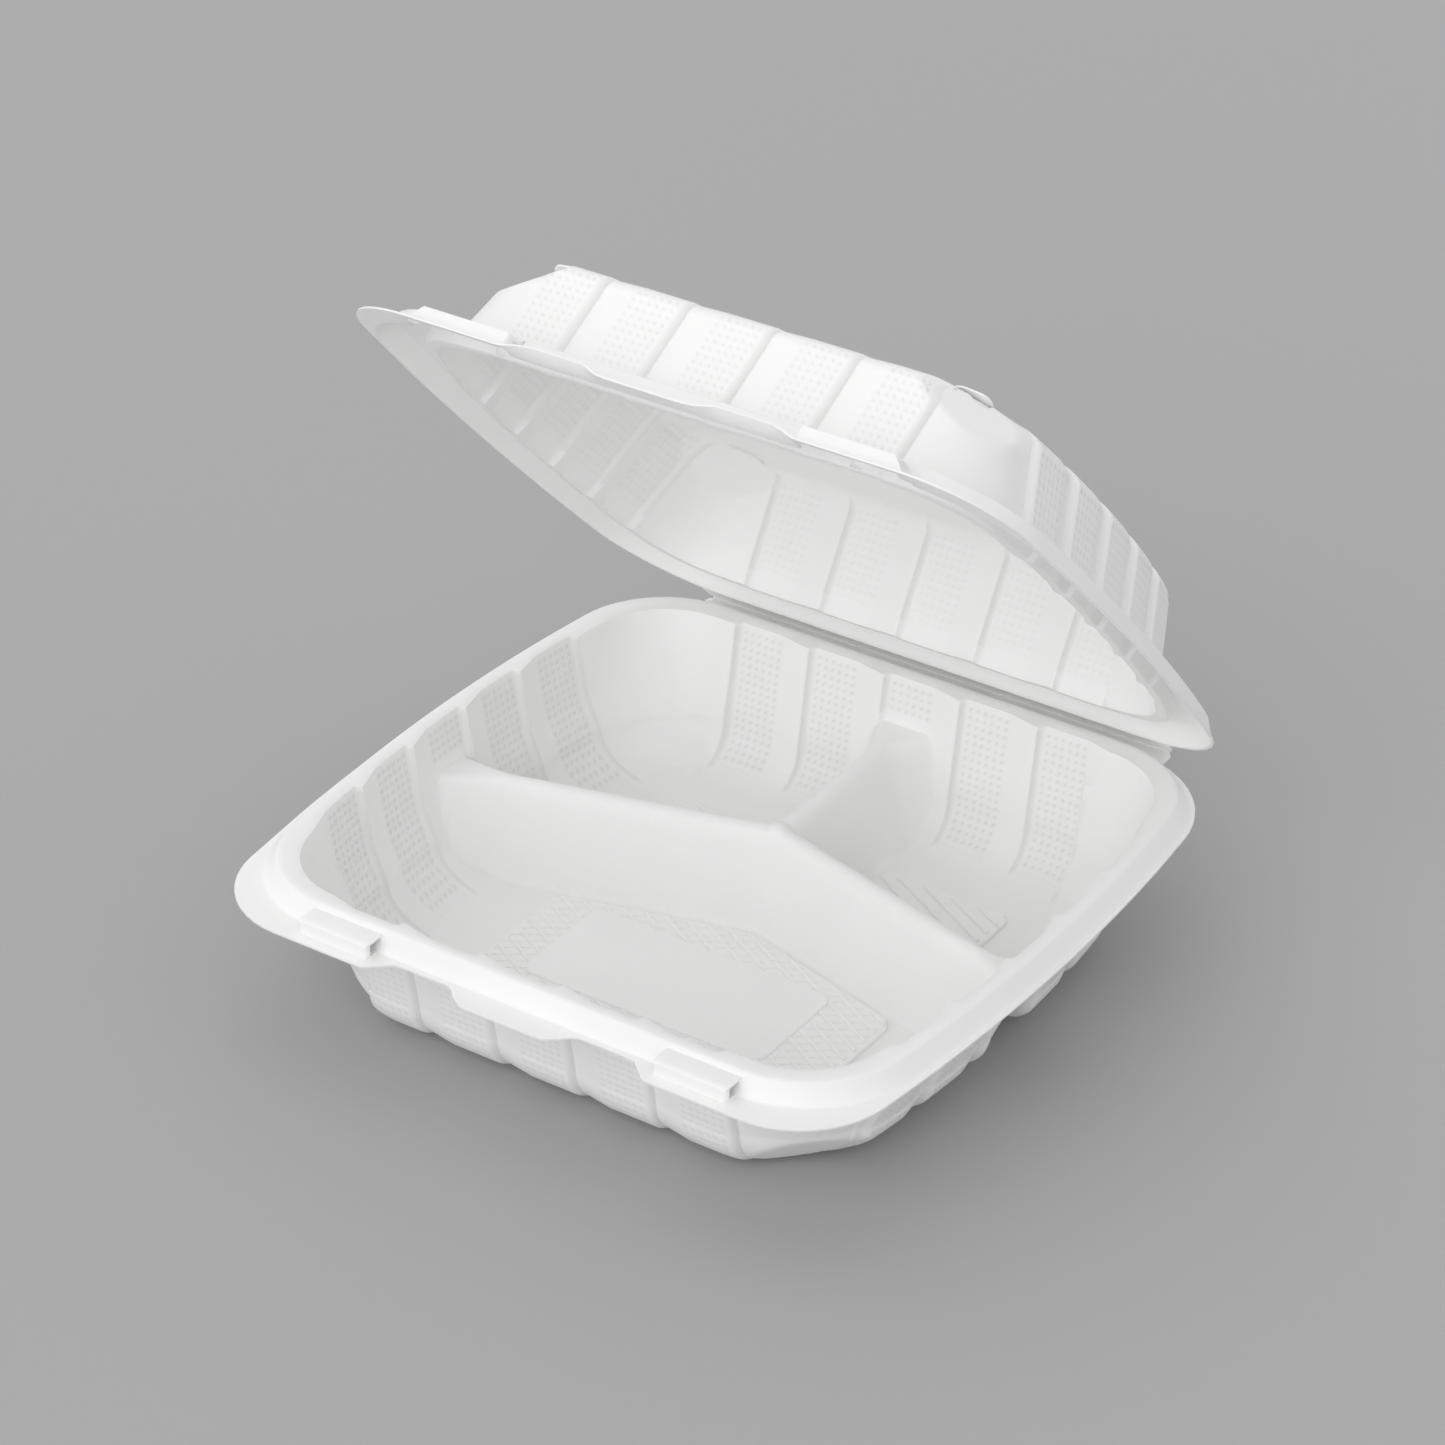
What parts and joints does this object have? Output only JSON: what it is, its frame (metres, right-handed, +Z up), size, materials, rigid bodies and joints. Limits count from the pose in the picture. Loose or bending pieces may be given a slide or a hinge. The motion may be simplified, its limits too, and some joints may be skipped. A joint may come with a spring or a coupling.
{
  "type": "clamshell food container",
  "caption": "Square hinged takeaway container of thin white plastic with pleated walls, a divided base, press-fit domed lid, front latches and steam vents.",
  "frame": {"origin": "on the table under the middle of the open container", "axes": "+Z up, +Y towards the hinge, -Y towards the latches, +X to the right when seen from the latches"},
  "size_m": [0.2364, 0.2396, 0.2149],
  "materials": {
    "shell": "satin white formed sheet"
  },
  "bodies": {
    "base": {"base": "shell"},
    "lid": {"lid": "shell"}
  },
  "joints": [
    {"name": "lid_hinge", "type": "hinge", "parent": "base", "child": "lid", "pos_m": [0, 0.1135, 0.0432], "axis": [-1, 0, 0], "range_deg": [-46.6, 133.4]}
  ]
}
